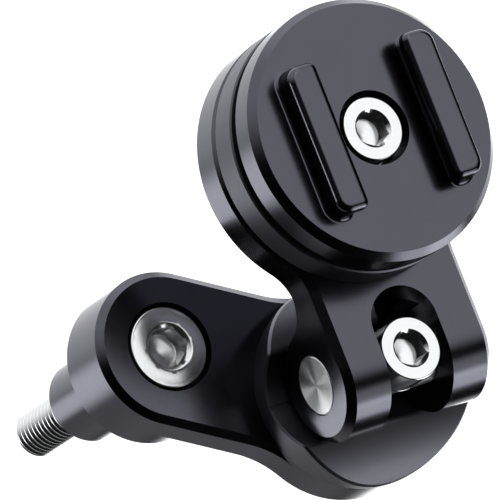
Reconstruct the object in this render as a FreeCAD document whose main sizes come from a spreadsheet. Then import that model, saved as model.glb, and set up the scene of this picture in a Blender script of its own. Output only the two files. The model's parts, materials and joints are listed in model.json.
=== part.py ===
import FreeCAD, Part
import math
import os
import Sketcher

V = FreeCAD.Vector

os.makedirs("parts", exist_ok=True)
doc = FreeCAD.newDocument("phone_mount")

# ---------------------------------------------------------------------------
# Driving dimensions, in millimetres and degrees.
# The origin is the centre of the spacer's lower face, on the axis of the main bolt. +Z runs along that axis
# towards the bolt heads, and +X runs along the arm to the swivel axis.
# ---------------------------------------------------------------------------
DIMENSIONS = (
    # socket screws: shank, head, its crown, the round of its upper edge, hexagon, and the countersink round that
    ("m8_radius", 4.0),
    ("m8_head_radius", 6.5),
    ("m8_head_height", 8.0),
    ("m8_head_crown", 0.3),
    ("m8_head_round", 0.3),
    ("m8_hex", 6.0),
    ("m8_hex_depth", 4.0),
    ("m8_sink_radius", 3.85),
    ("m6_radius", 3.0),
    ("m6_head_radius", 5.1),
    ("m6_head_height", 6.0),
    ("m6_head_round", 0.25),
    ("m6_hex", 5.0),
    ("m6_hex_depth", 3.2),
    ("m6_sink_radius", 3.1),
    ("m3_radius", 1.5),
    ("m3_head_radius", 2.75),
    ("m3_head_height", 1.65),
    ("m3_hex", 2.0),
    ("m3_length", 8.0),
    ("main_bolt_length", 40.0),
    ("clamp_bolt_length", 22.0),
    ("centre_bolt_length", 12.0),
    ("socket_floor_fall", 0.15),
    ("thread_step", 0.05),
    ("thread_run_out", 1.25),
    ("main_bolt_turn", 27.0),
    ("clamp_bolt_turn", 33.0),
    ("centre_bolt_turn", 29.0),
    ("edge_break", 0.25),
    ("running_gap", 0.06),
    ("insert_radius", 4.1),
    # spacer and arm
    ("spacer_length", 18.7),
    ("spacer_radius", 6.55),
    ("arm_depth", 11.0),
    ("arm_thickness", 6.2),
    ("arm_length", 30.4),
    ("arm_end_radius", 12.3),
    ("arm_chamfer", 1.1),
    ("waist_start", 15.4),
    ("seat_radius", 16.0),
    ("counterbore_radius", 7.15),
    # saddle, pin and clamp
    ("head_angle", 28.7),
    ("pin_height", 14.3),
    ("pin_radius", 4.75),
    ("pin_flat", 1.3),
    ("trough_radius", 9.7),
    ("crest_offset", 7.6),
    ("dome_radius", 16.0),
    ("dome_reach", 18.0),
    ("dome_foot", -0.63),
    ("saddle_top_radius", 17.6),
    ("saddle_height", 9.0),
    ("groove_width", 0.7),
    ("groove_depth", 0.35),
    ("crest_fillet", 1.0),
    ("saddle_rim_chamfer", 0.4),
    ("bolt_clearance", 3.2),
    ("washer_thickness", 0.9),
    ("swivel_washer_radius", 12.0),
    ("swivel_washer_thickness", 0.5),
    # fork bracket
    ("ear_radius", 9.4),
    ("bracket_thickness", 7.5),
    ("bracket_half_width", 13.45),
    ("bracket_chamfer", 1.2),
    ("web_fillet", 5.0),
    ("neck_fillet", 8.0),
    ("disc_radius", 21.05),
    ("disc_offset", 32.3),
    ("slot_half_width", 5.85),
    ("slot_centre", 4.0),
    ("slot_relief_radius", 9.2),
    # head
    ("base_thickness", 5.35),
    ("pad_thickness", 1.67),
    ("pad_radius", 19.3),
    ("pad_inner_radius", 9.0),
    ("retainer_circle", 14.0),
    ("retainer_pocket_radius", 3.2),
    ("retainer_pocket_depth", 3.5),
    ("grommet_thickness", 1.6),
    ("plate_thickness", 5.6),
    ("plate_chamfer_width", 1.1),
    ("plate_chamfer_height", 1.4),
    ("plate_hole_radius", 6.0),
    ("rail_outer", 13.5),
    ("rail_inner", 8.05),
    ("rail_undercut", 1.4),
    ("rail_half_length", 12.1),
    ("rail_height", 4.5),
    ("rail_lip", 1.75),
    ("rail_outer_corner", 2.4),
    ("rail_inner_corner", 1.3),
    ("rail_top_fillet", 1.2),
    ("rail_foot_fillet", 0.65),
)

sheet = doc.addObject("Spreadsheet::Sheet", "D")
for row, (alias, amount) in enumerate(DIMENSIONS, start=1):
    sheet.set(f"A{row}", alias)
    sheet.set(f"B{row}", str(amount))
    sheet.setAlias(f"B{row}", alias)
doc.recompute()

# Heights along Z, each built from the driving dimensions below it.
ARM_TOP = "(D.spacer_length + D.arm_depth)"
PLATE_UNDERSIDE = f"({ARM_TOP} - D.arm_thickness)"
PIN_AXIS = f"({ARM_TOP} + D.pin_height)"
CLAMP_HEAD_TOP = f"({PIN_AXIS} + D.pin_flat + D.washer_thickness + D.m6_head_height)"
BRACKET_FRONT = f"({PIN_AXIS} + D.ear_radius)"
BRACKET_BACK = f"({BRACKET_FRONT} - D.bracket_thickness)"
BASE_FRONT = f"({BRACKET_FRONT} + D.base_thickness)"
PLATE_BACK = f"({BASE_FRONT} + D.pad_thickness)"
PLATE_FRONT = f"({PLATE_BACK} + D.plate_thickness)"
RAIL_TOP = f"({PLATE_FRONT} + D.rail_height)"
CENTRE_HEAD_TOP = f"({BASE_FRONT} + D.washer_thickness + D.m6_head_height)"

# Which way an arc turns along an outline.
LEFT = 1
RIGHT = -1


# ---------------------------------------------------------------------------
# Small helpers for sketches and features
# ---------------------------------------------------------------------------
def number(expression):
    """The value of an expression over the sheet, in millimetres."""
    return float(sheet.evalExpression(expression))


def new_body(label, on_head=False):
    """A body of its own; one on the head sits at the swivel axis, turned to the head's resting angle."""
    body = doc.addObject("PartDesign::Body", label)
    body.Label = label
    if on_head:
        place_on_head(body)
    return body


def place_on_head(thing):
    thing.Placement = FreeCAD.Placement(V(0, 0, 0), FreeCAD.Rotation(V(0, 0, 1), number("D.head_angle")))
    thing.setExpression("Placement.Base.x", "D.arm_length")
    thing.setExpression("Placement.Rotation.Angle", "D.head_angle")


def new_sketch(body, name, plane, height=None):
    """A sketch on one of the body's own origin planes, raised by an expression if one is given."""
    sketch = body.newObject("Sketcher::SketchObject", name)
    support = next(f for f in body.Origin.OriginFeatures if f.Role == plane)
    sketch.AttachmentSupport = [(support, "")]
    sketch.MapMode = "FlatFace"
    if height:
        sketch.setExpression("AttachmentOffset.Base.z", height)
    return sketch


def hold(sketch, element, position, x, y):
    """Fix one point of a sketch at two expressions, both measured from the sketch's origin."""
    for kind, axis, expression in (("DistanceX", -2, x), ("DistanceY", -1, y)):
        if expression == "0":
            sketch.addConstraint(Sketcher.Constraint("PointOnObject", element, position, axis))
        else:
            rule = Sketcher.Constraint(kind, -1, 1, element, position, number(expression))
            index = sketch.addConstraint(rule)
            sketch.setExpression(f"Constraints[{index}]", expression)


def hold_radius(sketch, element, radius):
    index = sketch.addConstraint(Sketcher.Constraint("Radius", element, number(radius)))
    sketch.setExpression(f"Constraints[{index}]", radius)


def circle(sketch, radius, x="0", y="0"):
    shape = Part.Circle(V(number(x), number(y), 0), V(0, 0, 1), number(radius))
    element = sketch.addGeometry(shape)
    hold(sketch, element, 3, x, y)
    hold_radius(sketch, element, radius)


def arc_between(start, end, radius, turn):
    """The short arc from start to end, and whether it runs from start to end in Part's own sense."""
    chord = end - start
    side = V(-chord.y, chord.x, 0).normalize() * turn
    centre = (start + end) / 2 + side * math.sqrt(max(radius ** 2 - chord.Length ** 2 / 4, 0))
    first, last = (start, end) if turn == LEFT else (end, start)
    from_angle = math.atan2(first.y - centre.y, first.x - centre.x)
    to_angle = math.atan2(last.y - centre.y, last.x - centre.x)
    if to_angle < from_angle:
        to_angle += 2 * math.pi
    return Part.ArcOfCircle(Part.Circle(centre, V(0, 0, 1), radius), from_angle, to_angle)


def outline(sketch, corners):
    """A closed outline. A corner (x, y) ends a straight side, and (x, y, radius, turn) ends an arc."""
    points = [V(number(corner[0]), number(corner[1]), 0) for corner in corners]
    sides = []
    for i, corner in enumerate(corners):
        start, end = points[i - 1], points[i]
        if len(corner) == 2:
            element = sketch.addGeometry(Part.LineSegment(start, end))
            sides.append((element, 1, 2))
        else:
            element = sketch.addGeometry(arc_between(start, end, number(corner[2]), corner[3]))
            sides.append((element, 1, 2) if corner[3] == LEFT else (element, 2, 1))
    for i, corner in enumerate(corners):
        element, tail, head = sides[i]
        following, next_tail, next_head = sides[(i + 1) % len(sides)]
        sketch.addConstraint(Sketcher.Constraint("Coincident", element, head, following, next_tail))
        hold(sketch, element, head, corner[0], corner[1])
        if len(corner) > 2:
            hold_radius(sketch, element, corner[2])


def hexagon(sketch, across_flats, turn):
    """A hexagon about the sketch's origin, with its first corner turned from the X axis."""
    corners = []
    for step in range(6):
        angle = f"{turn} + {60 * step}"
        reach = f"{across_flats} / sqrt(3)"
        corners.append((f"{reach} * cos({angle})", f"{reach} * sin({angle})"))
    outline(sketch, corners)


def rectangle(sketch, left, right, bottom, top):
    outline(sketch, [(left, bottom), (right, bottom), (right, top), (left, top)])


def pad(body, sketch, length, symmetric=False):
    feature = body.newObject("PartDesign::Pad", sketch.Label + "_pad")
    feature.Profile = sketch
    feature.setExpression("Length", length)
    if symmetric:
        feature.SideType = "Symmetric"
    return feature


def pocket(body, sketch, depth=None, upward=False, symmetric=False):
    """Cut a sketch into the body: by a depth, or both ways through everything when none is given."""
    feature = body.newObject("PartDesign::Pocket", sketch.Label + "_pocket")
    feature.Profile = sketch
    feature.Reversed = upward
    if depth:
        feature.setExpression("Length", depth)
    else:
        feature.Type = "ThroughAll"
    if symmetric or not depth:
        feature.SideType = "Symmetric"
    return feature


def turned(body, name, corners):
    """A turned solid: the outline in the XZ plane (radius, height) taken once round the Z axis."""
    sketch = new_sketch(body, name, "XZ_Plane")
    outline(sketch, corners)
    feature = body.newObject("PartDesign::Revolution", name + "_turn")
    feature.Profile = sketch
    feature.ReferenceAxis = (sketch, ["V_Axis"])
    feature.Angle = 360
    return feature


def edges_where(feature, wanted):
    """Names of a feature's edges whose midpoint passes the test."""
    doc.recompute()
    names = []
    for index, edge in enumerate(feature.Shape.Edges, start=1):
        middle = edge.valueAt((edge.FirstParameter + edge.LastParameter) / 2)
        if wanted(edge, middle):
            names.append(f"Edge{index}")
    return names


def dress(body, kind, feature, names, size):
    """A Chamfer or Fillet on the named edges."""
    trim = body.newObject("PartDesign::" + kind, f"{feature.Label}_{kind.lower()}")
    trim.Base = (feature, names)
    trim.setExpression("Size" if kind == "Chamfer" else "Radius", size)
    return trim


def near(a, b):
    return abs(a - b) < 1e-3


def is_upright(edge):
    """True for a straight edge along Z."""
    if len(edge.Vertexes) < 2:
        return False
    along = edge.Vertexes[-1].Point - edge.Vertexes[0].Point
    return along.Length > 1e-6 and near(abs(along.z), along.Length)


# ---------------------------------------------------------------------------
# Turned and socket-headed pieces
# ---------------------------------------------------------------------------
def ring(label, inner, outer, bottom, top, on_head=False):
    """A plain ring whose outer edges are broken by at most a fifth of its height."""
    bevel = f"min(D.edge_break; ({top} - {bottom}) / 5)"
    body = new_body(label, on_head)
    turned(body, label + "_profile", [
        (inner, bottom),
        (f"{outer} - {bevel}", bottom),
        (outer, f"{bottom} + {bevel}"),
        (outer, f"{top} - {bevel}"),
        (f"{outer} - {bevel}", top),
        (inner, top),
    ])
    return body


def socket_screw(label, size, top, length, on_head=False, thread_top=None, crown=None):
    """A socket cap screw on the body's Z axis, with its head's upper face at the height top.

    The face is flat, or falls away towards its rim by the height crown.

    The socket is a round hole with a shallow conical floor and a countersunk mouth, broached to a hexagon.
    From the height thread_top down, if one is given, the thread is a little thinner than the shank, and the
    two meet in a run-out above that height.
    """
    radius = f"D.{size}_radius"
    head = f"D.{size}_head_radius"
    seat = f"{top} - D.{size}_head_height"
    end = f"{seat} - {length}"
    round_off = f"D.{size}_head_round"
    sink = f"D.{size}_sink_radius"
    drill = f"(D.{size}_hex / 2 - D.running_gap)"
    floor = f"{top} - D.{size}_hex_depth"
    rim = f"({head} - {round_off})"
    rim_top = top
    face = [(rim, top)]
    if crown:
        rim_top = f"({top} - {crown})"
        face = [(rim, rim_top, f"(({rim} - {sink})^2 + {crown}^2) / (2 * {crown})", RIGHT)]
    thread = radius
    shoulder = []
    if thread_top:
        thread = f"({radius} - D.thread_step)"
        shoulder = [(radius, f"{thread_top} + D.thread_run_out"), (thread, thread_top)]
    body = new_body(label, on_head)
    turned(body, label + "_profile", [
        ("0", f"{floor} - {drill} * D.socket_floor_fall"),
        (drill, floor),
        (drill, f"{top} - ({sink} - {drill})"),
        (sink, top),
        *face,
        (head, f"{rim_top} - {round_off}", round_off, RIGHT),
        (head, seat),
        (radius, seat),
        *shoulder,
        (thread, f"{end} + 3 * D.edge_break"),
        (f"{thread} - 3 * D.edge_break", end),
        ("0", end),
    ])
    socket = new_sketch(body, label + "_hex", "XY_Plane", top)
    hexagon(socket, f"D.{size}_hex", f"D.{label}_turn")
    pocket(body, socket, f"D.{size}_hex_depth")
    return body


# ---------------------------------------------------------------------------
# The pieces that stay with the bike
# ---------------------------------------------------------------------------
socket_screw("main_bolt", "m8", ARM_TOP, "D.main_bolt_length", thread_top="0", crown="D.m8_head_crown")
ring("spacer_sleeve", "D.m8_radius + D.running_gap", "D.spacer_radius", "0", "D.spacer_length")


# ---------------------------------------------------------------------------
# The arm
# ---------------------------------------------------------------------------
def make_arm():
    body = new_body("arm")
    waist_radius = ("((D.arm_length - D.waist_start)^2 + D.arm_end_radius^2 - D.seat_radius^2)"
                    " / (2 * (D.seat_radius - D.arm_end_radius))")
    share = f"D.seat_radius / (D.seat_radius + {waist_radius})"
    flare_x = f"D.arm_length - (D.arm_length - D.waist_start) * {share}"
    flare_y = f"(D.arm_end_radius + {waist_radius}) * {share}"
    plan = new_sketch(body, "arm_plan", "XY_Plane", PLATE_UNDERSIDE)
    outline(plan, [
        ("0", "-D.arm_end_radius", "D.arm_end_radius", LEFT),
        ("D.waist_start", "-D.arm_end_radius"),
        (flare_x, f"-({flare_y})", waist_radius, RIGHT),
        ("D.arm_length + D.seat_radius", "0", "D.seat_radius", LEFT),
        (flare_x, flare_y, "D.seat_radius", LEFT),
        ("D.waist_start", "D.arm_end_radius", waist_radius, RIGHT),
        ("0", "D.arm_end_radius"),
        ("-D.arm_end_radius", "0", "D.arm_end_radius", LEFT),
    ])
    plate = pad(body, plan, "D.arm_thickness")

    top = number(ARM_TOP)
    rim = edges_where(plate, lambda edge, middle: near(middle.z, top))
    dress(body, "Chamfer", plate, rim, "D.arm_chamfer")

    # The round end keeps its full size up to the saddle.
    seat = new_sketch(body, "arm_seat", "XY_Plane", PLATE_UNDERSIDE)
    circle(seat, "D.seat_radius", "D.arm_length")
    pad(body, seat, "D.arm_thickness")

    boss = new_sketch(body, "arm_boss", "XY_Plane", "D.spacer_length")
    circle(boss, "D.arm_end_radius")
    pad(body, boss, "D.arm_depth - D.arm_thickness")

    bore = new_sketch(body, "arm_bore", "XY_Plane")
    circle(bore, "D.m8_radius + D.running_gap")
    pocket(body, bore)

    counterbore = new_sketch(body, "arm_counterbore", "XY_Plane", ARM_TOP)
    circle(counterbore, "D.counterbore_radius")
    pocket(body, counterbore, "D.m8_head_height")

    insert_hole = new_sketch(body, "arm_insert_hole", "XY_Plane")
    circle(insert_hole, "D.insert_radius", "D.arm_length")
    pocket(body, insert_hole)
    return body


make_arm()
ring("arm_thread_insert", "D.m6_radius + D.running_gap", "D.insert_radius",
     PLATE_UNDERSIDE, ARM_TOP, on_head=True)


# ---------------------------------------------------------------------------
# The saddle, the cross pin and the clamp bolt
# ---------------------------------------------------------------------------
def make_saddle():
    """A flared round block; its top is a trough for the ears between two rounded crests."""
    body = new_body("saddle", on_head=True)
    block = f"{ARM_TOP} + D.saddle_height"
    turned(body, "saddle_profile", [
        ("0", ARM_TOP),
        ("D.seat_radius", ARM_TOP),
        ("D.saddle_top_radius", block),
        ("0", block),
    ])

    crest_height = f"{PIN_AXIS} - sqrt(D.trough_radius^2 - D.crest_offset^2)"
    above = f"{block} + 1"
    dome_end = f"{ARM_TOP} + D.dome_foot"
    top = new_sketch(body, "saddle_top", "YZ_Plane")
    outline(top, [
        ("D.dome_reach", dome_end),
        ("D.crest_offset", crest_height, "D.dome_radius", LEFT),
        ("-D.crest_offset", crest_height, "D.trough_radius", RIGHT),
        ("-D.dome_reach", dome_end, "D.dome_radius", LEFT),
        ("-D.dome_reach", above),
        ("D.dome_reach", above),
    ])
    last = pocket(body, top)

    crest = number(crest_height)
    offset = number("D.crest_offset")
    crests = edges_where(last, lambda edge, middle: near(abs(middle.y), offset) and near(middle.z, crest))
    last = dress(body, "Fillet", last, crests, "D.crest_fillet")

    foot = number(ARM_TOP)
    flare = number("(D.saddle_top_radius - D.seat_radius) / D.saddle_height")

    def on_flared_wall(edge, middle):
        radius = number("D.seat_radius") + flare * (middle.z - foot)
        curved = not isinstance(edge.Curve, (Part.Line, Part.LineSegment))
        return curved and near(math.hypot(middle.x, middle.y), radius) and middle.z > foot + 1e-3

    dress(body, "Chamfer", last, edges_where(last, on_flared_wall), "D.saddle_rim_chamfer")

    groove_floor = f"{PIN_AXIS} - D.trough_radius - D.groove_depth"
    groove = new_sketch(body, "saddle_groove", "YZ_Plane")
    rectangle(groove, "-D.groove_width / 2", "D.groove_width / 2", groove_floor, PIN_AXIS)
    pocket(body, groove)

    hole = new_sketch(body, "saddle_hole", "XY_Plane")
    circle(hole, "D.bolt_clearance")
    pocket(body, hole)

    recess = new_sketch(body, "saddle_recess", "XY_Plane", ARM_TOP)
    circle(recess, "D.swivel_washer_radius")
    pocket(body, recess, "D.swivel_washer_thickness", upward=True)
    return body


def make_pivot_pin():
    """A round cross pin with a spot-faced flat between the ears and a hole for the clamp bolt."""
    body = new_body("pivot_pin", on_head=True)
    section = new_sketch(body, "pin_section", "YZ_Plane")
    circle(section, "D.pin_radius", "0", PIN_AXIS)
    bar = pad(body, section, "2 * D.bracket_half_width", symmetric=True)

    half = number("D.bracket_half_width")
    ends = edges_where(bar, lambda edge, middle: near(abs(middle.x), half))
    dress(body, "Chamfer", bar, ends, "D.edge_break")

    flat = new_sketch(body, "pin_flat", "XY_Plane", f"{PIN_AXIS} + D.pin_radius")
    reach = "D.slot_half_width - D.edge_break"
    rectangle(flat, f"-({reach})", reach, "-D.pin_radius", "D.pin_radius")
    pocket(body, flat, "D.pin_radius - D.pin_flat")

    hole = new_sketch(body, "pin_hole", "XY_Plane", PIN_AXIS)
    circle(hole, "D.bolt_clearance")
    pocket(body, hole)
    return body


ring("swivel_washer", "D.insert_radius", "D.swivel_washer_radius", ARM_TOP,
     f"{ARM_TOP} + D.swivel_washer_thickness", on_head=True)
make_saddle()
make_pivot_pin()
ring("clamp_bolt_washer", "D.bolt_clearance", "D.m6_head_radius", f"{PIN_AXIS} + D.pin_flat",
     f"{PIN_AXIS} + D.pin_flat + D.washer_thickness", on_head=True)
socket_screw("clamp_bolt", "m6", CLAMP_HEAD_TOP, "D.clamp_bolt_length", on_head=True)


# ---------------------------------------------------------------------------
# The fork bracket
# ---------------------------------------------------------------------------
def make_fork_bracket():
    body = new_body("fork_bracket", on_head=True)
    half = "D.bracket_half_width"
    floor = f"({PIN_AXIS} - D.ear_radius - 1)"
    centre_gap = f"sqrt((D.disc_radius + D.neck_fillet)^2 - ({half} + D.neck_fillet)^2)"
    share = "D.disc_radius / (D.disc_radius + D.neck_fillet)"
    neck_y = f"D.disc_offset - {centre_gap}"
    join_x = f"({half} + D.neck_fillet) * {share}"
    join_y = f"D.disc_offset - {centre_gap} * {share}"
    plan = new_sketch(body, "bracket_plan", "XY_Plane", floor)
    outline(plan, [
        (f"-{half}", "-D.ear_radius - 1"),
        (half, "-D.ear_radius - 1"),
        (half, neck_y),
        (join_x, join_y, "D.neck_fillet", RIGHT),
        ("D.disc_radius", "D.disc_offset", "D.disc_radius", LEFT),
        ("0", "D.disc_offset + D.disc_radius", "D.disc_radius", LEFT),
        ("-D.disc_radius", "D.disc_offset", "D.disc_radius", LEFT),
        (f"-{join_x}", join_y, "D.disc_radius", LEFT),
        (f"-{half}", neck_y, "D.neck_fillet", RIGHT),
    ])
    pad(body, plan, f"{BRACKET_FRONT} - {floor}")

    # Cut away all that is not plate or ear: the ears are round about the pin, with a web up to the plate's back.
    rise = "(D.bracket_thickness - D.ear_radius + D.web_fillet)"
    web_y = f"sqrt((D.ear_radius + D.web_fillet)^2 - {rise}^2)"
    meet = "D.ear_radius / (D.ear_radius + D.web_fillet)"
    far = "D.disc_offset + D.disc_radius + 1"
    ears = new_sketch(body, "bracket_ears", "YZ_Plane")
    outline(ears, [
        ("-D.ear_radius", PIN_AXIS, "D.ear_radius", LEFT),
        ("0", f"{PIN_AXIS} - D.ear_radius", "D.ear_radius", LEFT),
        (f"{web_y} * {meet}", f"{PIN_AXIS} - {rise} * {meet}", "D.ear_radius", LEFT),
        (web_y, BRACKET_BACK, "D.web_fillet", RIGHT),
        (far, BRACKET_BACK),
        (far, f"{floor} - 1"),
        ("-D.ear_radius - 2", f"{floor} - 1"),
        ("-D.ear_radius - 2", f"{BRACKET_FRONT} + 1"),
        ("0", f"{BRACKET_FRONT} + 1"),
        ("0", BRACKET_FRONT),
    ])
    blank = pocket(body, ears)

    side = number(half)
    middle_y = number("D.disc_offset")
    reach = number("D.disc_radius")

    def on_rim(edge, middle):
        on_side = near(abs(middle.x), side)
        on_disc = near(math.hypot(middle.x, middle.y - middle_y), reach)
        on_neck = abs(middle.x) > side and middle.y < middle_y
        return (on_side or on_disc or on_neck) and not is_upright(edge)

    dress(body, "Chamfer", blank, edges_where(blank, on_rim), "D.bracket_chamfer")

    slot = new_sketch(body, "bracket_slot", "XY_Plane", BRACKET_FRONT)
    outline(slot, [
        ("-D.slot_half_width", "-D.ear_radius - 1"),
        ("D.slot_half_width", "-D.ear_radius - 1"),
        ("D.slot_half_width", "D.slot_centre"),
        ("0", "D.slot_centre + D.slot_half_width", "D.slot_half_width", LEFT),
        ("-D.slot_half_width", "D.slot_centre", "D.slot_half_width", LEFT),
    ])
    pocket(body, slot)

    # Below the front face the slot's end is relieved, so that the clamp bolt's head clears it as the fork tilts.
    relief = new_sketch(body, "bracket_slot_relief", "YZ_Plane")
    circle(relief, "D.slot_relief_radius", "0", PIN_AXIS)
    pocket(body, relief, "2 * (D.m6_head_radius + D.edge_break)", symmetric=True)

    bore = new_sketch(body, "bracket_pin_bore", "YZ_Plane")
    circle(bore, "D.pin_radius + D.running_gap", "0", PIN_AXIS)
    pocket(body, bore)

    insert_hole = new_sketch(body, "bracket_insert_hole", "XY_Plane", BRACKET_FRONT)
    circle(insert_hole, "D.insert_radius", "0", "D.disc_offset")
    pocket(body, insert_hole)
    return body


make_fork_bracket()


def place_on_disc(thing):
    """Put a body made about its own Z axis on the axis of the bracket's disc."""
    place_on_head(thing)
    thing.setExpression("Placement.Base.x", "D.arm_length - D.disc_offset * sin(D.head_angle)")
    thing.setExpression("Placement.Base.y", "D.disc_offset * cos(D.head_angle)")


place_on_disc(ring("bracket_thread_insert", "D.m6_radius + D.running_gap", "D.insert_radius",
                   BRACKET_BACK, BRACKET_FRONT))


# ---------------------------------------------------------------------------
# The head: base ring, rubber ring, phone plate and their screws
# ---------------------------------------------------------------------------
def retainer_places():
    """The four retaining screws' centres, as expressions about the disc's axis."""
    return [(f"D.retainer_circle * cos({angle})", f"D.retainer_circle * sin({angle})")
            for angle in (45, 135, 225, 315)]


def make_damper_base():
    body = new_body("damper_base")
    place_on_disc(body)
    turned(body, "base_profile", [
        ("D.bolt_clearance", BRACKET_FRONT),
        ("D.disc_radius - D.edge_break", BRACKET_FRONT),
        ("D.disc_radius", f"{BRACKET_FRONT} + D.edge_break"),
        ("D.disc_radius", f"{BASE_FRONT} - D.edge_break"),
        ("D.disc_radius - D.edge_break", BASE_FRONT),
        ("D.bolt_clearance", BASE_FRONT),
    ])
    pockets = new_sketch(body, "base_pockets", "XY_Plane", BRACKET_FRONT)
    holes = new_sketch(body, "base_holes", "XY_Plane", BRACKET_FRONT)
    for x, y in retainer_places():
        circle(pockets, "D.retainer_pocket_radius", x, y)
        circle(holes, "D.m3_radius + D.edge_break", x, y)
    pocket(body, pockets, "D.retainer_pocket_depth", upward=True)
    pocket(body, holes)


def make_damping_pad():
    body = new_body("damping_pad")
    place_on_disc(body)
    face = new_sketch(body, "pad_face", "XY_Plane", BASE_FRONT)
    circle(face, "D.pad_radius")
    circle(face, "D.pad_inner_radius")
    for x, y in retainer_places():
        circle(face, "D.m3_radius + D.edge_break", x, y)
    pad(body, face, "D.pad_thickness")


def rounded_bar(sketch, side, inner):
    """One rail seen from the front: large corner rounds outside, small ones inside."""
    outer, corner, small = "D.rail_outer", "D.rail_outer_corner", "D.rail_inner_corner"
    far = "D.rail_half_length"
    turn = LEFT if side == "" else RIGHT
    outline(sketch, [
        (f"{side}({inner} + {small})", f"-{far}"),
        (f"{side}({outer} - {corner})", f"-{far}"),
        (f"{side}{outer}", f"-({far} - {corner})", corner, turn),
        (f"{side}{outer}", f"{far} - {corner}"),
        (f"{side}({outer} - {corner})", far, corner, turn),
        (f"{side}({inner} + {small})", far),
        (f"{side}({inner})", f"{far} - {small}", small, turn),
        (f"{side}({inner})", f"-({far} - {small})"),
        (f"{side}({inner} + {small})", f"-{far}", small, turn),
    ][1:])


def make_mount_plate():
    """The front disc with two undercut rails, which a twist-lock phone case slides behind."""
    body = new_body("mount_plate")
    place_on_disc(body)
    last = turned(body, "plate_profile", [
        ("D.plate_hole_radius", PLATE_BACK),
        ("D.disc_radius - D.edge_break", PLATE_BACK),
        ("D.disc_radius", f"{PLATE_BACK} + D.edge_break"),
        ("D.disc_radius", f"{PLATE_FRONT} - D.plate_chamfer_height"),
        ("D.disc_radius - D.plate_chamfer_width", PLATE_FRONT),
        ("D.plate_hole_radius", PLATE_FRONT),
    ])
    for name, side in (("right", ""), ("left", "-")):
        stem = new_sketch(body, name + "_stem", "XY_Plane", PLATE_FRONT)
        rounded_bar(stem, side, "D.rail_inner + D.rail_undercut")
        pad(body, stem, "D.rail_height")
        lip = new_sketch(body, name + "_lip", "XY_Plane", f"{RAIL_TOP} - D.rail_lip")
        rounded_bar(lip, side, "D.rail_inner")
        last = pad(body, lip, "D.rail_lip")

    face = number(PLATE_FRONT)
    foot_reach = number("D.rail_outer") + 1

    def at_foot(edge, middle):
        return near(middle.z, face) and abs(middle.x) < foot_reach and near(middle.z, edge.Vertexes[0].Z) \
            and math.hypot(middle.x, middle.y) > number("D.plate_hole_radius") + 0.1 \
            and edge.BoundBox.DiagonalLength < 2.5 * number("D.rail_half_length")

    last = dress(body, "Fillet", last, edges_where(last, at_foot), "D.rail_foot_fillet")
    summit = number(RAIL_TOP)
    tops = edges_where(last, lambda edge, middle: near(middle.z, summit))
    dress(body, "Fillet", last, tops, "D.rail_top_fillet")

    threads = new_sketch(body, "plate_threads", "XY_Plane", PLATE_BACK)
    for x, y in retainer_places():
        circle(threads, "D.m3_radius", x, y)
    pocket(body, threads, "D.m3_length / 2", upward=True)
    return body


def place_at_retainer(thing, x, y, height):
    """Stand a primitive of the head at one retaining screw, with its foot at a height."""
    thing.setExpression("Placement.Base.x", x)
    thing.setExpression("Placement.Base.y", y)
    thing.setExpression("Placement.Base.z", height)


def cylinder(name, radius, height):
    solid = doc.addObject("Part::Cylinder", name)
    solid.setExpression("Radius", radius)
    solid.setExpression("Height", height)
    return solid


def combine(kind, name, base, tool):
    result = doc.addObject("Part::" + kind, name)
    result.Base = base
    result.Tool = tool
    return result


def grouped(label, pieces):
    group = doc.addObject("Part::Compound", label)
    group.Label = label
    group.Links = pieces
    place_on_disc(group)
    return group


SCREW_SEAT = f"{BRACKET_FRONT} + D.retainer_pocket_depth - D.grommet_thickness"


def make_retaining_screw(index, x, y):
    """A small pan screw from behind: head at the back, hexagon socket, shank into the phone plate."""
    head_foot = f"{SCREW_SEAT} - D.m3_head_height"
    head = cylinder(f"retainer_head_{index}", "D.m3_head_radius", "D.m3_head_height")
    place_at_retainer(head, x, y, head_foot)
    shank = cylinder(f"retainer_shank_{index}", "D.m3_radius", "D.m3_length")
    place_at_retainer(shank, x, y, SCREW_SEAT)
    socket = doc.addObject("Part::Prism", f"retainer_socket_{index}")
    socket.Polygon = 6
    socket.setExpression("Circumradius", "D.m3_hex / sqrt(3)")
    socket.setExpression("Height", "D.m3_head_height * 0.6")
    place_at_retainer(socket, x, y, head_foot)
    solid = combine("Fuse", f"retainer_solid_{index}", head, shank)
    return combine("Cut", f"retainer_{index}", solid, socket)


def make_grommet(index, x, y):
    outer = cylinder(f"grommet_outer_{index}", "D.retainer_pocket_radius - D.running_gap", "D.grommet_thickness")
    inner = cylinder(f"grommet_inner_{index}", "D.m3_radius + D.running_gap", "D.grommet_thickness")
    for solid in (outer, inner):
        place_at_retainer(solid, x, y, SCREW_SEAT)
    return combine("Cut", f"grommet_{index}", outer, inner)


make_damper_base()
make_damping_pad()
make_mount_plate()
grouped("isolator_grommets", [make_grommet(i, x, y) for i, (x, y) in enumerate(retainer_places(), start=1)])
grouped("retaining_screws", [make_retaining_screw(i, x, y) for i, (x, y) in enumerate(retainer_places(), start=1)])
place_on_disc(ring("centre_washer", "D.bolt_clearance", "D.m6_head_radius + 2 * D.edge_break", BASE_FRONT,
                   f"{BASE_FRONT} + D.washer_thickness"))
place_on_disc(socket_screw("centre_bolt", "m6", CENTRE_HEAD_TOP, "D.centre_bolt_length"))


# ---------------------------------------------------------------------------
# Check everything, then write one file for each sub-part
# ---------------------------------------------------------------------------
def check_features():
    for thing in doc.Objects:
        if {"Invalid", "Error"} & set(thing.State):
            raise RuntimeError(f"{thing.Name} failed: {thing.State}")
        if thing.TypeId in ("PartDesign::Pocket", "PartDesign::Groove"):
            removed = thing.BaseFeature.Shape.Volume - thing.Shape.Volume
            if removed < 1e-3:
                raise RuntimeError(f"{thing.Name} cuts nothing")


def sub_parts():
    bodies = [thing for thing in doc.Objects if thing.TypeId == "PartDesign::Body"]
    groups = [thing for thing in doc.Objects if thing.TypeId == "Part::Compound"]
    return bodies + groups


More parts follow.
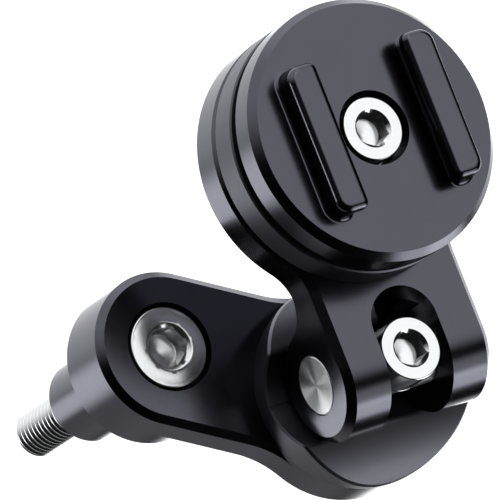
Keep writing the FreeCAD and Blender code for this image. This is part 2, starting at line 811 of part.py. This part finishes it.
doc.recompute()
check_features()
for piece in sub_parts():
    shape = piece.Shape
    if shape.isNull() or not shape.isValid():
        raise RuntimeError(f"{piece.Label} has no valid shape")
    shape.exportStep(os.path.join("parts", piece.Label + ".step"))
    print(f"{piece.Label}: {len(shape.Solids)} solid(s), {shape.Volume:.1f} mm3")
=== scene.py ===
import json
import math

import bmesh
import bpy
from mathutils import Matrix, Vector


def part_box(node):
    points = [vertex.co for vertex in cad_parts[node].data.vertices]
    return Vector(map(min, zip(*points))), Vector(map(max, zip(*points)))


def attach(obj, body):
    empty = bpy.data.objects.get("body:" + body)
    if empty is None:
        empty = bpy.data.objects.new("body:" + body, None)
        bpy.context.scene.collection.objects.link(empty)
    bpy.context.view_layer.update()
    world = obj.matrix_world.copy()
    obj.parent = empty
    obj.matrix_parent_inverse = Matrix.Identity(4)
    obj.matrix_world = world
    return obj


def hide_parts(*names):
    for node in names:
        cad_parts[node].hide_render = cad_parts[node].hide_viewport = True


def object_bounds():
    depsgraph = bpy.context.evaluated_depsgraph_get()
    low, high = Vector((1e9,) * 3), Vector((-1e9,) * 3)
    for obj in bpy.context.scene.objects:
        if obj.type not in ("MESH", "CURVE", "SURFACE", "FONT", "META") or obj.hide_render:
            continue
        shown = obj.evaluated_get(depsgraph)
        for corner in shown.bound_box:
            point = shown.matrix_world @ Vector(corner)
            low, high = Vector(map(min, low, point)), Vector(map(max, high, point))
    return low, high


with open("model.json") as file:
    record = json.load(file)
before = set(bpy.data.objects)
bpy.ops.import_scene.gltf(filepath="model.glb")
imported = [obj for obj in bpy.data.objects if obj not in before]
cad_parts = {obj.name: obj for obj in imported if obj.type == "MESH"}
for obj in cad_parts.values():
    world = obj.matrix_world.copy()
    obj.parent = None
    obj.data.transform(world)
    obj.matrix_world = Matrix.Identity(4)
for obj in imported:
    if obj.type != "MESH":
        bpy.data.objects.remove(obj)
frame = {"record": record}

CAD_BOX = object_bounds()
MM = 0.001

# ---------------------------------------------------------------------------
# Places and directions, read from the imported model
# ---------------------------------------------------------------------------
UPRIGHT = Vector((0, 0, 1))
BOLT_LOW, BOLT_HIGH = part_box("main_bolt")
HEAD_TOP = Vector(((BOLT_LOW.x + BOLT_HIGH.x) / 2, (BOLT_LOW.y + BOLT_HIGH.y) / 2, BOLT_HIGH.z))
JOINTS = {joint["name"]: joint for joint in frame["record"]["behaviour"]["joints"]}
TILT_AXIS = Vector(JOINTS["head_tilt"]["axis"]).normalized()
TILT_CENTRE = Vector(JOINTS["head_tilt"]["pos_m"])
DISC_CENTRE = Vector(JOINTS["head_turn"]["pos_m"])
SWIVEL_CENTRE = Vector(JOINTS["head_swivel"]["pos_m"])


# ---------------------------------------------------------------------------
# Building node trees
# ---------------------------------------------------------------------------
def node_tree(owner):
    """The empty node tree of a material or a world."""
    owner.use_nodes = True
    owner.node_tree.nodes.clear()
    return owner.node_tree


def add(tree, kind, inputs=None, **settings):
    """A new node, with its settings and the values of the inputs that nothing is linked to."""
    node = tree.nodes.new(kind)
    for name, value in settings.items():
        setattr(node, name, value)
    for name, value in (inputs or {}).items():
        node.inputs[name].default_value = value
    return node


def link(tree, source, target):
    tree.links.new(source, target)


def map_range(tree, value, from_range, to_range, **settings):
    """A value mapped from one range on to another, and held inside it."""
    node = add(tree, "ShaderNodeMapRange", {
        "From Min": from_range[0],
        "From Max": from_range[1],
        "To Min": to_range[0],
        "To Max": to_range[1],
    }, **settings)
    link(tree, value, node.inputs["Value"])
    return node.outputs["Result"]


def maths(tree, operation, first, second):
    """A sum or a product of two outputs of other nodes."""
    node = add(tree, "ShaderNodeMath", operation=operation)
    link(tree, first, node.inputs[0])
    link(tree, second, node.inputs[1])
    return node.outputs[0]


# ---------------------------------------------------------------------------
# Camera, floor and studio light
# ---------------------------------------------------------------------------
VIEW_RIGHT = Vector((0.8958, 0.0753, 0.4382)).normalized()
VIEW_UP = Vector((-0.2193, 0.9322, 0.2881)).normalized()
VIEW_WIDTH = 76.92 * MM
AIM_RIGHT = 12.34 * MM
AIM_UP = 14.86 * MM
LENS = 1500
SENSOR = 36
CLIP_START_SHARE = 0.5
CLIP_END_SHARE = 2

FLOOR_HALF_WIDTH = 1.5
FLOOR_DROP = 60 * MM
PAPER = (0.9, 0.9, 0.9, 1)
PAPER_ROUGHNESS = 0.9
PAPER_GLOW = 0.9


def make_camera():
    """A very long lens, because the object is seen almost without perspective."""
    back = VIEW_RIGHT.cross(VIEW_UP).normalized()
    up = back.cross(VIEW_RIGHT)
    aim = HEAD_TOP + VIEW_RIGHT * AIM_RIGHT + up * AIM_UP
    distance = VIEW_WIDTH * LENS / SENSOR
    data = bpy.data.cameras.new("camera")
    data.lens = LENS
    data.sensor_width = SENSOR
    data.clip_start = distance * CLIP_START_SHARE
    data.clip_end = distance * CLIP_END_SHARE
    camera = bpy.data.objects.new("camera", data)
    turn = Matrix((VIEW_RIGHT, up, back)).transposed()
    camera.matrix_world = Matrix.Translation(aim + back * distance) @ turn.to_4x4()
    bpy.context.collection.objects.link(camera)
    bpy.context.scene.camera = camera


def make_floor():
    """A plain pale floor, lit so that it stays near white; only the camera sees it."""
    half = FLOOR_HALF_WIDTH
    height = CAD_BOX[0].z - FLOOR_DROP
    corners = [(-half, -half, height), (half, -half, height), (half, half, height), (-half, half, height)]
    mesh = bpy.data.meshes.new("floor")
    mesh.from_pydata(corners, [], [(0, 1, 2, 3)])
    floor = bpy.data.objects.new("floor", mesh)
    bpy.context.collection.objects.link(floor)
    floor.visible_glossy = False
    floor.visible_diffuse = False
    floor.visible_shadow = False
    material = bpy.data.materials.new("floor_paper")
    tree = node_tree(material)
    shader = add(tree, "ShaderNodeBsdfPrincipled", {
        "Base Color": PAPER,
        "Roughness": PAPER_ROUGHNESS,
        "Emission Color": (1, 1, 1, 1),
        "Emission Strength": PAPER_GLOW,
    })
    out = add(tree, "ShaderNodeOutputMaterial")
    link(tree, shader.outputs[0], out.inputs["Surface"])
    mesh.materials.append(material)


# Soft lights round the object. Each row gives, in degrees, the azimuth of a light's middle from +X towards +Y,
# its elevation, the angle from the middle where it starts to fade and the angle where it is gone. Its
# brightness is last.
SOFT_LIGHTS = (
    # overhead
    (75, 68, 18, 42, 1.15),
    # tall strip on the right, with a patch above it and one below
    (328, 5, 9, 19, 2.8),
    (335, 25, 8, 20, 1.0),
    (346, -10, 7, 15, 3.4),
    # broad panels at the far left
    (130, 8, 20, 70, 1.0),
    (95, -8, 14, 44, 0.5),
    # narrow strip on the left, which draws the rails' edges
    (201, -16, 3, 9, 4.5),
    # light thrown up from below
    (112, -56, 20, 46, 1.25),
    (206, -58, 3, 18, 2.5),
    (262, -62, 16, 45, 0.38),
    (32, -56, 9, 20, 2.8),
    (26, -32, 12, 26, 1.2),
    (354, -50, 4, 12, 0.6),
    # low on the far side, seen in the upper chamfers
    (62, -34, 10, 26, 0.7),
    (66, -20, 5, 14, 0.9),
)
AMBIENT = 0.008
LIGHT_COLOUR = (0.97, 0.98, 1.0, 1)
# A first reflection reaches the world at ray depth 2. Light reflected more than once keeps only this share.
DEEP_RAYS = (2, 3)
DEEP_REFLECTION = 0.5


def soft_light(tree, direction, azimuth, elevation, inner, outer, strength):
    """The brightness that one soft light gives in a direction."""
    a, e = math.radians(azimuth), math.radians(elevation)
    towards = (math.cos(a) * math.cos(e), math.sin(a) * math.cos(e), math.sin(e))
    facing = add(tree, "ShaderNodeVectorMath", {1: towards}, operation="DOT_PRODUCT")
    link(tree, direction, facing.inputs[0])
    edge = (math.cos(math.radians(outer)), math.cos(math.radians(inner)))
    return map_range(tree, facing.outputs["Value"], edge, (0, strength), interpolation_type="SMOOTHSTEP")


def make_light():
    """A world of soft lights that the pieces see. To the camera it is an even pale grey."""
    world = bpy.data.worlds.new("studio")
    bpy.context.scene.world = world
    tree = node_tree(world)
    direction = add(tree, "ShaderNodeTexCoord").outputs["Generated"]
    total = soft_light(tree, direction, *SOFT_LIGHTS[0])
    for light in SOFT_LIGHTS[1:]:
        total = maths(tree, "ADD", total, soft_light(tree, direction, *light))
    lift = add(tree, "ShaderNodeMath", {1: AMBIENT}, operation="ADD")
    link(tree, total, lift.inputs[0])
    ray = add(tree, "ShaderNodeLightPath")
    depth_share = map_range(tree, ray.outputs["Ray Depth"], DEEP_RAYS, (1, DEEP_REFLECTION))
    lit = add(tree, "ShaderNodeBackground", {"Color": LIGHT_COLOUR})
    link(tree, maths(tree, "MULTIPLY", lift.outputs[0], depth_share), lit.inputs["Strength"])
    plain = add(tree, "ShaderNodeBackground", {"Strength": 1.0})
    mix = add(tree, "ShaderNodeMixShader")
    link(tree, ray.outputs["Is Camera Ray"], mix.inputs["Fac"])
    link(tree, lit.outputs[0], mix.inputs[1])
    link(tree, plain.outputs[0], mix.inputs[2])
    out = add(tree, "ShaderNodeOutputWorld")
    link(tree, mix.outputs[0], out.inputs["Surface"])


# ---------------------------------------------------------------------------
# Materials
# ---------------------------------------------------------------------------
STEEL_COLOUR = (0.90, 0.90, 0.90)
PIN_COLOUR = (0.98, 0.98, 0.98)
RUBBER_DARK = (0.006, 0.006, 0.006)
RUBBER_LIGHT = (0.014, 0.014, 0.015)
RUBBER_ROUGHNESS = 0.75
# Noise stays mostly inside this range, so this is the range that is spread over another quantity.
NOISE_MIDDLE = (0.3, 0.7)
COLOUR_DRIFT = 0.03
RING_DARKENING = 0.88
# Turns the stretch of a highlight from along the rings to across them.
QUARTER_TURN = 0.25
RING_SCALE = 9000
FINE_BUMP = 0.01 * MM
COARSE_BUMP = 0.05 * MM


def new_material(name, metallic):
    """A Principled material and what the others build on: its tree, shader and the piece's own coordinates."""
    material = bpy.data.materials.new(name)
    tree = node_tree(material)
    coords = add(tree, "ShaderNodeTexCoord").outputs["Object"]
    shader = add(tree, "ShaderNodeBsdfPrincipled", {"Metallic": metallic})
    out = add(tree, "ShaderNodeOutputMaterial")
    link(tree, shader.outputs[0], out.inputs["Surface"])
    return material, tree, shader, coords


def noise(tree, coords, scale, detail):
    texture = add(tree, "ShaderNodeTexNoise", {"Scale": scale, "Detail": detail})
    link(tree, coords, texture.inputs["Vector"])
    return texture.outputs["Fac"]


def tint(tree, shader, amount, low, high):
    """Colour that moves between two tones."""
    mixed = add(tree, "ShaderNodeMix", data_type="RGBA")
    mixed.inputs["A"].default_value = (*low, 1)
    mixed.inputs["B"].default_value = (*high, 1)
    link(tree, amount, mixed.inputs["Factor"])
    link(tree, mixed.outputs["Result"], shader.inputs["Base Color"])


def polish(tree, shader, amount, middle, drift):
    """Roughness that moves a little either side of a middle value."""
    roughness = map_range(tree, amount, NOISE_MIDDLE, (middle - drift, middle + drift))
    link(tree, roughness, shader.inputs["Roughness"])


def emboss(tree, shader, height, strength, distance):
    """Fine surface relief."""
    bump = add(tree, "ShaderNodeBump", {"Strength": strength, "Distance": distance})
    link(tree, height, bump.inputs["Height"])
    link(tree, bump.outputs[0], shader.inputs["Normal"])


def anodised(name, colour, roughness):
    """Bead-blasted and dyed aluminium: a fine grain, and a slow drift in colour and gloss."""
    material, tree, shader, coords = new_material(name, metallic=1.0)
    darker = [channel * (1 - COLOUR_DRIFT) for channel in colour]
    lighter = [channel * (1 + COLOUR_DRIFT) for channel in colour]
    tint(tree, shader, noise(tree, coords, scale=160, detail=3), darker, lighter)
    polish(tree, shader, noise(tree, coords, scale=900, detail=4), roughness, drift=0.012)
    emboss(tree, shader, noise(tree, coords, scale=5200, detail=2), strength=0.04, distance=FINE_BUMP)
    return material


def turned_steel(name, centre, axis, roughness, anisotropy, colour=STEEL_COLOUR):
    """Bright steel turned about an axis: fine rings, and a highlight stretched across them."""
    material, tree, shader, coords = new_material(name, metallic=1.0)
    shader.inputs["Anisotropic"].default_value = anisotropy
    shader.inputs["Anisotropic Rotation"].default_value = QUARTER_TURN
    away = add(tree, "ShaderNodeVectorMath", {1: centre}, operation="SUBTRACT")
    link(tree, coords, away.inputs[0])
    around = add(tree, "ShaderNodeVectorMath", {0: axis}, operation="CROSS_PRODUCT")
    link(tree, away.outputs[0], around.inputs[1])
    tangent = add(tree, "ShaderNodeVectorTransform", vector_type="VECTOR", convert_from="OBJECT",
                  convert_to="WORLD")
    link(tree, around.outputs[0], tangent.inputs[0])
    link(tree, tangent.outputs[0], shader.inputs["Tangent"])
    radius = add(tree, "ShaderNodeVectorMath", operation="LENGTH")
    link(tree, around.outputs[0], radius.inputs[0])
    rings = add(tree, "ShaderNodeTexNoise", {"Scale": RING_SCALE, "Detail": 3}, noise_dimensions="1D")
    link(tree, radius.outputs["Value"], rings.inputs["W"])
    darker = [channel * RING_DARKENING for channel in colour]
    tint(tree, shader, rings.outputs["Fac"], darker, colour)
    polish(tree, shader, noise(tree, coords, scale=1400, detail=3), roughness, drift=0.015)
    emboss(tree, shader, rings.outputs["Fac"], strength=0.05, distance=FINE_BUMP)
    return material


def rubber(name):
    """Matt black rubber with a pebbled skin."""
    material, tree, shader, coords = new_material(name, metallic=0.0)
    tint(tree, shader, noise(tree, coords, scale=1200, detail=3), RUBBER_DARK, RUBBER_LIGHT)
    polish(tree, shader, noise(tree, coords, scale=3000, detail=2), RUBBER_ROUGHNESS, drift=0.1)
    emboss(tree, shader, noise(tree, coords, scale=2500, detail=3), strength=0.2, distance=COARSE_BUMP)
    return material


BLACK = anodised("anodised_black", (0.100, 0.098, 0.117), roughness=0.20)
SATIN_BLACK = anodised("anodised_black_satin", (0.104, 0.103, 0.120), roughness=0.42)
WASHER_BLACK = anodised("washer_black", (0.03, 0.03, 0.033), roughness=0.4)
MAIN_STEEL = turned_steel("steel_main", HEAD_TOP, UPRIGHT, roughness=0.24, anisotropy=0.3)
CLAMP_STEEL = turned_steel("steel_clamp", SWIVEL_CENTRE, UPRIGHT, roughness=0.15, anisotropy=0.3)
CENTRE_STEEL = turned_steel("steel_centre", DISC_CENTRE, UPRIGHT, roughness=0.15, anisotropy=0.3)
PIN_STEEL = turned_steel("steel_pin", TILT_CENTRE, TILT_AXIS, roughness=0.42, anisotropy=0.9, colour=PIN_COLOUR)
RUBBER = rubber("rubber_black")

LOOKS = {
    "main_bolt": MAIN_STEEL,
    "spacer_sleeve": BLACK,
    "arm": BLACK,
    "arm_thread_insert": CLAMP_STEEL,
    "swivel_washer": WASHER_BLACK,
    "saddle": SATIN_BLACK,
    "pivot_pin": PIN_STEEL,
    "clamp_bolt": CLAMP_STEEL,
    "clamp_bolt_washer": CLAMP_STEEL,
    "fork_bracket": BLACK,
    "bracket_thread_insert": CENTRE_STEEL,
    "damper_base": SATIN_BLACK,
    "damping_pad": RUBBER,
    "isolator_grommets": RUBBER,
    "retaining_screws": CENTRE_STEEL,
    "mount_plate": BLACK,
    "centre_bolt": CENTRE_STEEL,
    "centre_washer": CENTRE_STEEL,
}


def dress_nodes():
    for name, material in LOOKS.items():
        for slot in bpy.data.objects[name].material_slots:
            slot.material = material


# ---------------------------------------------------------------------------
# The main screw with its real thread
# ---------------------------------------------------------------------------
THREAD_PITCH = 1.25 * MM
THREAD_CREST = 3.95 * MM
THREAD_ROOT = 3.25 * MM
THREAD_TOP = 3.0 * MM
TIP_BEVEL = 0.75 * MM
TURN_STEPS = 96
# The helix starts below the screw's tip and ends above the thread's top. What lies past an end is flattened
# on to it, and its radius shrinks by END_CLOSING millimetres for each millimetre past it, which closes the end.
TURNS_BELOW = 2
TURNS_ABOVE = 1
END_CLOSING = 4
# One pitch of the thread: how far along it each corner lies, and how far up from root to crest.
THREAD_SECTION = (
    (0.0, 0.0),
    (0.14, 0.0),
    (0.30, 0.45),
    (0.47, 0.97),
    (0.50, 1.0),
    (0.64, 1.0),
    (0.67, 0.97),
    (0.84, 0.45),
)
THREAD_MERGE = 0.002 * MM
SCREW_MERGE = 0.001 * MM
CUT_SNAP = 0.0001 * MM
SHARP_ANGLE = 28


def thread_point(step, corner):
    """One corner of the thread's section, carried along the helix and kept inside the bevelled ends."""
    along, rise = THREAD_SECTION[corner]
    angle = 2 * math.pi * step / TURN_STEPS
    height = BOLT_LOW.z + THREAD_PITCH * (step / TURN_STEPS + along - TURNS_BELOW)
    radius = THREAD_ROOT + (THREAD_CREST - THREAD_ROOT) * rise
    inset = min(height - BOLT_LOW.z, THREAD_TOP - height)
    if inset < 0:
        radius = max(THREAD_CREST - TIP_BEVEL + inset * END_CLOSING, 0)
    else:
        radius = min(radius, THREAD_CREST - TIP_BEVEL + inset)
    height = min(max(height, BOLT_LOW.z), THREAD_TOP)
    return HEAD_TOP.x + radius * math.cos(angle), HEAD_TOP.y + radius * math.sin(angle), height


def make_thread():
    """The screw's threaded end, as one closed helical skin."""
    turns = (THREAD_TOP - BOLT_LOW.z) / THREAD_PITCH + TURNS_BELOW + TURNS_ABOVE
    steps = math.ceil(turns * TURN_STEPS)
    corners = range(len(THREAD_SECTION))
    skin = bmesh.new()
    rows = []
    for step in range(steps):
        rows.append([skin.verts.new(thread_point(step, corner)) for corner in corners])
    for step in range(steps - 1):
        here, there = rows[step], rows[step + 1]
        for corner in corners[:-1]:
            skin.faces.new((here[corner], there[corner], there[corner + 1], here[corner + 1]))
        if step + 1 + TURN_STEPS < steps:
            above, above_next = rows[step + TURN_STEPS], rows[step + 1 + TURN_STEPS]
            skin.faces.new((here[-1], there[-1], above_next[0], above[0]))
    bmesh.ops.remove_doubles(skin, verts=skin.verts, dist=THREAD_MERGE)
    bmesh.ops.dissolve_degenerate(skin, edges=skin.edges, dist=THREAD_MERGE)
    bmesh.ops.recalc_face_normals(skin, faces=skin.faces)
    return skin


def make_shank():
    """The CAD model's own screw, cut off and closed just under the thread's top end, whose bevel it hides."""
    source = bpy.data.objects["main_bolt"]
    shank = bmesh.new()
    shank.from_mesh(source.data)
    shank.transform(source.matrix_world)
    bmesh.ops.remove_doubles(shank, verts=shank.verts, dist=SCREW_MERGE)
    cut = THREAD_TOP - TIP_BEVEL
    bmesh.ops.bisect_plane(shank, geom=[*shank.verts, *shank.edges, *shank.faces], dist=CUT_SNAP,
                           plane_co=(0, 0, cut), plane_no=(0, 0, -1), clear_outer=True)
    rim = [edge for edge in shank.edges if all(abs(vertex.co.z - cut) < SCREW_MERGE for vertex in edge.verts)]
    bmesh.ops.contextual_create(shank, geom=rim)
    return shank


def make_screw():
    """Replace the plain screw by the same screw with a threaded end."""
    screw = make_shank()
    thread_mesh = bpy.data.meshes.new("thread")
    make_thread().to_mesh(thread_mesh)
    screw.from_mesh(thread_mesh)
    mesh = bpy.data.meshes.new("main_bolt_threaded")
    screw.to_mesh(mesh)
    bpy.data.meshes.remove(thread_mesh)
    mesh.shade_smooth()
    mesh.set_sharp_from_angle(angle=math.radians(SHARP_ANGLE))
    piece = bpy.data.objects.new("main_bolt_threaded", mesh)
    flat_faces = piece.modifiers.new("flat_faces", "WEIGHTED_NORMAL")
    flat_faces.keep_sharp = True
    bpy.context.collection.objects.link(piece)
    mesh.materials.append(MAIN_STEEL)
    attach(piece, "base")
    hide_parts("main_bolt")


make_camera()
make_floor()
make_light()
dress_nodes()
make_screw()
bpy.context.scene.view_settings.view_transform = "Standard"
